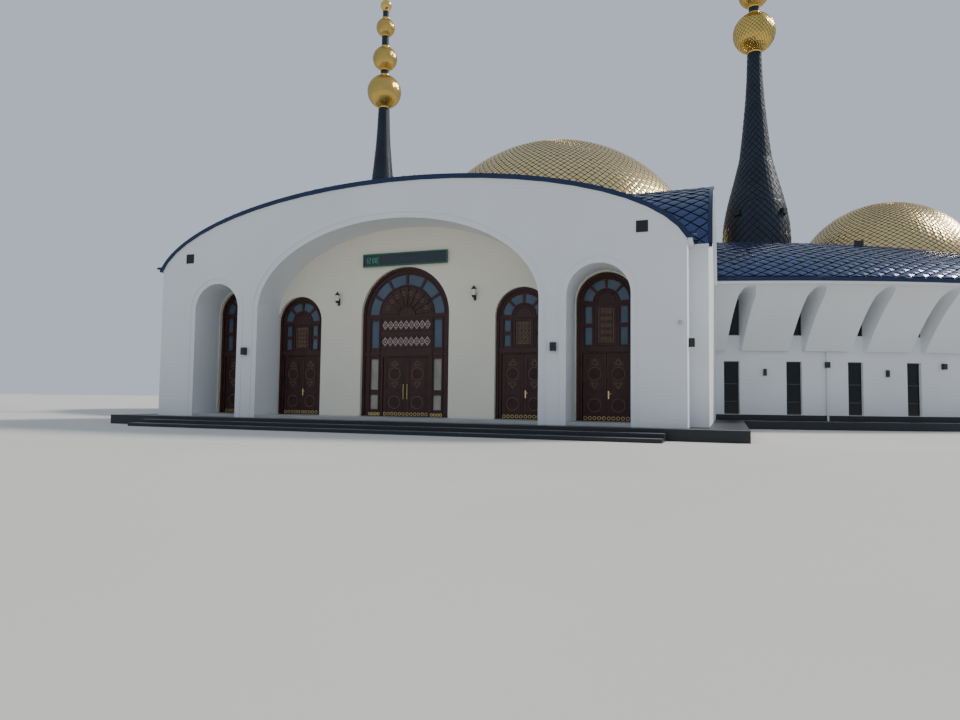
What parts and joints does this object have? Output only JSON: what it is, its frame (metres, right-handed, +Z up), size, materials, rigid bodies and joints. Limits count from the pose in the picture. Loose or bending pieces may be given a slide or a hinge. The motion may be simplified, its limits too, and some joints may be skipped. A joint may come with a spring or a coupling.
{
  "type": "mosque, 1:2 scale model",
  "caption": "Mosque with an arched portal, an oval prayer hall under a blue shingled roof, gilded domes, slender minarets with gilded balls and hinged carved doors; half size.",
  "frame": {"origin": "on the ground, under the middle of the building's bounding box", "axes": "+X along the portal's face to the right seen from the front, +Y from the steps towards the back of the hall, +Z up"},
  "size_m": [39.5, 28.3, 22.1503],
  "materials": {
    "plaster": "matt white plaster",
    "cream_plaster": "matt cream plaster",
    "granite": "dark granite slabs",
    "floor_stone": "honed grey stone",
    "blue_shingle": "dark blue rhombic metal shingles",
    "gold_shingle": "pale gold rhombic metal shingles",
    "dark_shingle": "blue-black rhombic metal shingles",
    "gilding": "bright gilding",
    "carved_wood": "dark red-brown carved wood",
    "pane": "dark window glass"
  },
  "bodies": {
    "building": {"facade_wall": "plaster", "gable_wall_right": "plaster", "gable_wall_left": "plaster", "hall_wall_front_right": "plaster", "hall_wall_front_left": "plaster", "hall_wall_end_right": "plaster", "hall_wall_end_left": "plaster", "hall_wall_back_right": "plaster", "hall_wall_back_left": "plaster", "door_wall": "cream_plaster", "hall_base": "granite", "portal_platform": "granite", "front_steps": "granite", "inner_floor": "floor_stone", "portal_roof": "blue_shingle", "hall_roof": "blue_shingle", "main_dome": "gold_shingle", "side_dome_right": "gold_shingle", "side_dome_left": "gold_shingle", "minaret_left": "dark_shingle", "minaret_right": "dark_shingle", "large_ball_left": "gilding", "large_ball_right": "gilding", "middle_ball_left": "gilding", "middle_ball_right": "gilding", "small_ball_left": "gilding", "small_ball_right": "gilding", "finial_left": "gilding", "finial_right": "gilding", "door_frame_outer_left": "carved_wood", "door_frame_inner_left": "carved_wood", "door_frame_centre": "carved_wood", "door_frame_inner_right": "carved_wood", "door_frame_outer_right": "carved_wood", "lower_window_glass": "pane", "upper_window_glass": "pane", "door_glass": "pane"},
    "leaf_outer_left_left": {"door_leaf_outer_left_left": "carved_wood"},
    "leaf_outer_left_right": {"door_leaf_outer_left_right": "carved_wood"},
    "leaf_inner_left_left": {"door_leaf_inner_left_left": "carved_wood"},
    "leaf_inner_left_right": {"door_leaf_inner_left_right": "carved_wood"},
    "leaf_centre_left": {"door_leaf_centre_left": "carved_wood"},
    "leaf_centre_right": {"door_leaf_centre_right": "carved_wood"},
    "leaf_inner_right_left": {"door_leaf_inner_right_left": "carved_wood"},
    "leaf_inner_right_right": {"door_leaf_inner_right_right": "carved_wood"},
    "leaf_outer_right_left": {"door_leaf_outer_right_left": "carved_wood"},
    "leaf_outer_right_right": {"door_leaf_outer_right_right": "carved_wood"}
  },
  "joints": [
    {"name": "hinge_outer_left_left", "type": "hinge", "parent": "building", "child": "leaf_outer_left_left", "pos_m": [-5.353, -11.7875, 1.0525], "axis": [0, 0, -1], "range_deg": [0, 90]},
    {"name": "hinge_outer_left_right", "type": "hinge", "parent": "building", "child": "leaf_outer_left_right", "pos_m": [-4.367, -11.7875, 1.0525], "axis": [0, 0, 1], "range_deg": [0, 90]},
    {"name": "hinge_inner_left_left", "type": "hinge", "parent": "building", "child": "leaf_inner_left_left", "pos_m": [-3.468, -11.7875, 1.0525], "axis": [0, 0, -1], "range_deg": [0, 90]},
    {"name": "hinge_inner_left_right", "type": "hinge", "parent": "building", "child": "leaf_inner_left_right", "pos_m": [-2.482, -11.7875, 1.0525], "axis": [0, 0, 1], "range_deg": [0, 90]},
    {"name": "hinge_centre_left", "type": "hinge", "parent": "building", "child": "leaf_centre_left", "pos_m": [-0.588, -11.7875, 1.0275], "axis": [0, 0, -1], "range_deg": [0, 90]},
    {"name": "hinge_centre_right", "type": "hinge", "parent": "building", "child": "leaf_centre_right", "pos_m": [0.588, -11.7875, 1.0275], "axis": [0, 0, 1], "range_deg": [0, 90]},
    {"name": "hinge_inner_right_left", "type": "hinge", "parent": "building", "child": "leaf_inner_right_left", "pos_m": [2.482, -11.7875, 1.0525], "axis": [0, 0, -1], "range_deg": [0, 90]},
    {"name": "hinge_inner_right_right", "type": "hinge", "parent": "building", "child": "leaf_inner_right_right", "pos_m": [3.468, -11.7875, 1.0525], "axis": [0, 0, 1], "range_deg": [0, 90]},
    {"name": "hinge_outer_right_left", "type": "hinge", "parent": "building", "child": "leaf_outer_right_left", "pos_m": [4.367, -11.7875, 1.0525], "axis": [0, 0, -1], "range_deg": [0, 90]},
    {"name": "hinge_outer_right_right", "type": "hinge", "parent": "building", "child": "leaf_outer_right_right", "pos_m": [5.353, -11.7875, 1.0525], "axis": [0, 0, 1], "range_deg": [0, 90]}
  ]
}
